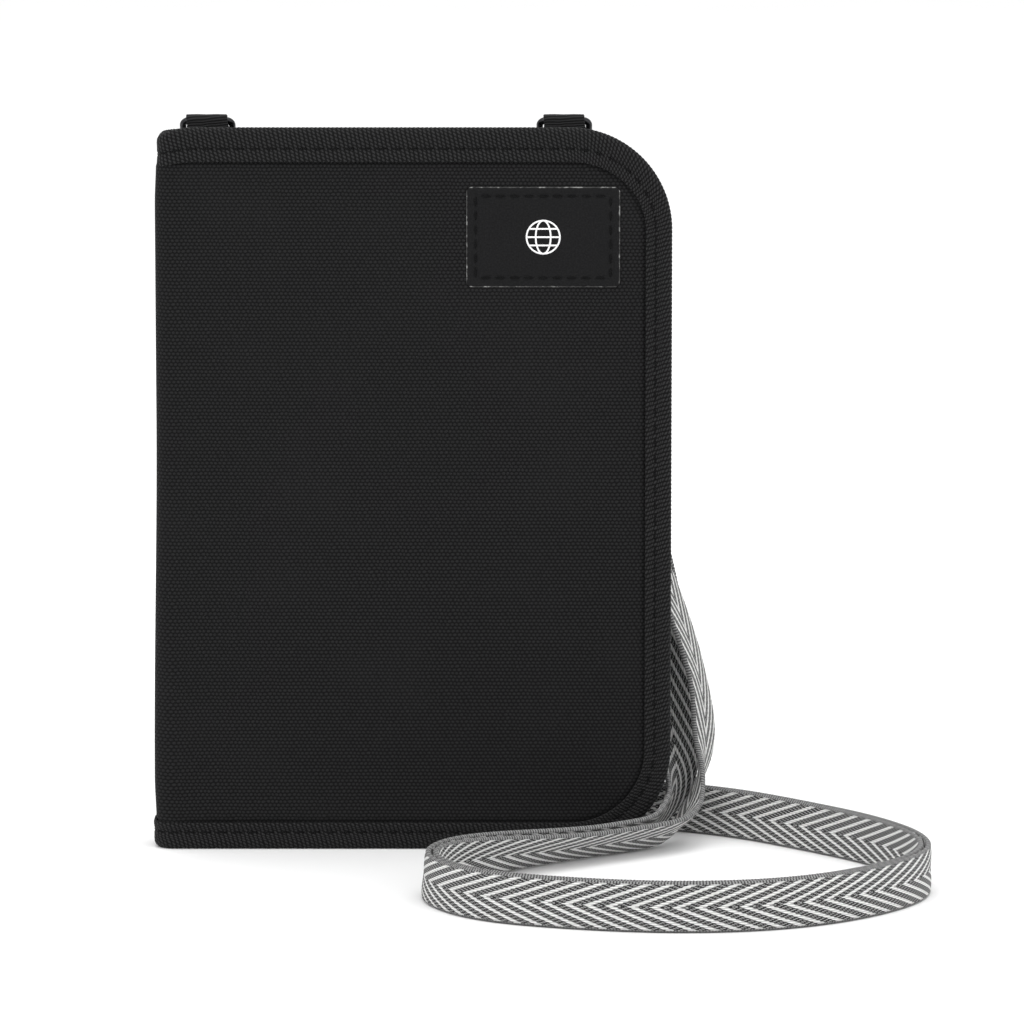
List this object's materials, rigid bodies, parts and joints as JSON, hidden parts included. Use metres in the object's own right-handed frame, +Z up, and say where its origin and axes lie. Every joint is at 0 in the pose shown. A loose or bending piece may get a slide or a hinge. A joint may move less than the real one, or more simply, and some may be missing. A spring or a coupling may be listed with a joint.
{
  "type": "neck pouch wallet",
  "caption": "Bifold fabric travel wallet with bound edges, inner passport and zip pockets, and a flat neck strap hooked to two rings at its top.",
  "frame": {"origin": "centre of the closed wallet's footprint, without the strap and hooks, on the surface it stands on", "axes": "+Z up along the wallet's height, -Y out of the front leaf, spine at -X"},
  "size_m": [0.1601, 0.1086, 0.1514],
  "materials": {
    "canvas": "plain-weave nylon canvas",
    "board": "flexible board",
    "shield_foil": "foil",
    "lining": "fine ripstop nylon",
    "binding_tape": "ribbed tape",
    "patch": "matte synthetic leather",
    "grosgrain": "grosgrain",
    "zip_tape": "woven tape",
    "zip_teeth": "nylon coil",
    "dark_metal": "black satin",
    "webbing": "grey webbing with white chevrons"
  },
  "bodies": {
    "back_leaf": {"back_canvas": "canvas", "back_board": "board", "back_shield": "shield_foil", "back_lining": "lining", "back_binding": "binding_tape", "passport_pocket": "lining", "passport_trim": "binding_tape", "tab_left": "grosgrain", "tab_right": "grosgrain", "strap_hang_left": "webbing", "strap_hang_right": "webbing", "strap_floor_left": "webbing", "strap_floor_right": "webbing", "strap_fold": "webbing"},
    "spine": {"spine_canvas": "canvas", "spine_lining": "lining", "spine_binding_top": "binding_tape", "spine_binding_bottom": "binding_tape"},
    "front_leaf": {"front_canvas": "canvas", "front_board": "board", "front_shield": "shield_foil", "front_lining": "lining", "front_binding": "binding_tape", "label_patch": "patch", "zip_pocket_panel": "lining", "zip_pocket_header": "lining", "zip_tape_lower": "zip_tape", "zip_tape_upper": "zip_tape", "zip_teeth_lower": "zip_teeth", "zip_teeth_upper": "zip_teeth", "zip_stops": "dark_metal", "card_pocket_1": "lining", "card_pocket_2": "lining", "card_pocket_3": "lining", "card_trim_1": "binding_tape", "card_trim_2": "binding_tape", "card_trim_3": "binding_tape"},
    "zip_runner": {"zip_slider": "dark_metal", "zip_pull": "dark_metal"},
    "ring_left": {"d_ring_left": "dark_metal", "hook_left": "dark_metal", "gate_pin_left": "dark_metal", "strap_end_left": "webbing"},
    "latch_left": {"gate_left": "dark_metal"},
    "ring_right": {"d_ring_right": "dark_metal", "hook_right": "dark_metal", "gate_pin_right": "dark_metal", "strap_end_right": "webbing"},
    "latch_right": {"gate_right": "dark_metal"}
  },
  "joints": [
    {"name": "back_crease", "type": "hinge", "parent": "back_leaf", "child": "spine", "pos_m": [-0.0519, 0.00096, 0.075], "axis": [0, 0, -1], "range_deg": [0, 90], "deforming": ["strap_hang_left", "strap_hang_right", "strap_floor_left", "strap_floor_right", "strap_fold"]},
    {"name": "front_crease", "type": "hinge", "parent": "spine", "child": "front_leaf", "pos_m": [-0.0519, -0.00844, 0.075], "axis": [0, 0, -1], "range_deg": [0, 90]},
    {"name": "zip_slide", "type": "slide", "parent": "front_leaf", "child": "zip_runner", "axis": [-1, 0, 0], "range_m": [0, 0.0715]},
    {"name": "ring_swing_left", "type": "hinge", "parent": "back_leaf", "child": "ring_left", "pos_m": [-0.0424, 0.00416, 0.1501], "axis": [1, 0, 0], "range_deg": [0, 130]},
    {"name": "gate_press_left", "type": "hinge", "parent": "ring_left", "child": "latch_left", "pos_m": [-0.0424, 0.01201, 0.13797], "axis": [1, 0, 0], "range_deg": [0, 18], "stiffness_Nm_per_rad": 0.0005, "springref_deg": -5.73},
    {"name": "ring_swing_right", "type": "hinge", "parent": "back_leaf", "child": "ring_right", "pos_m": [0.031, 0.00416, 0.1501], "axis": [1, 0, 0], "range_deg": [0, 130]},
    {"name": "gate_press_right", "type": "hinge", "parent": "ring_right", "child": "latch_right", "pos_m": [0.031, 0.01201, 0.13797], "axis": [1, 0, 0], "range_deg": [0, 18], "stiffness_Nm_per_rad": 0.0005, "springref_deg": -5.73}
  ]
}
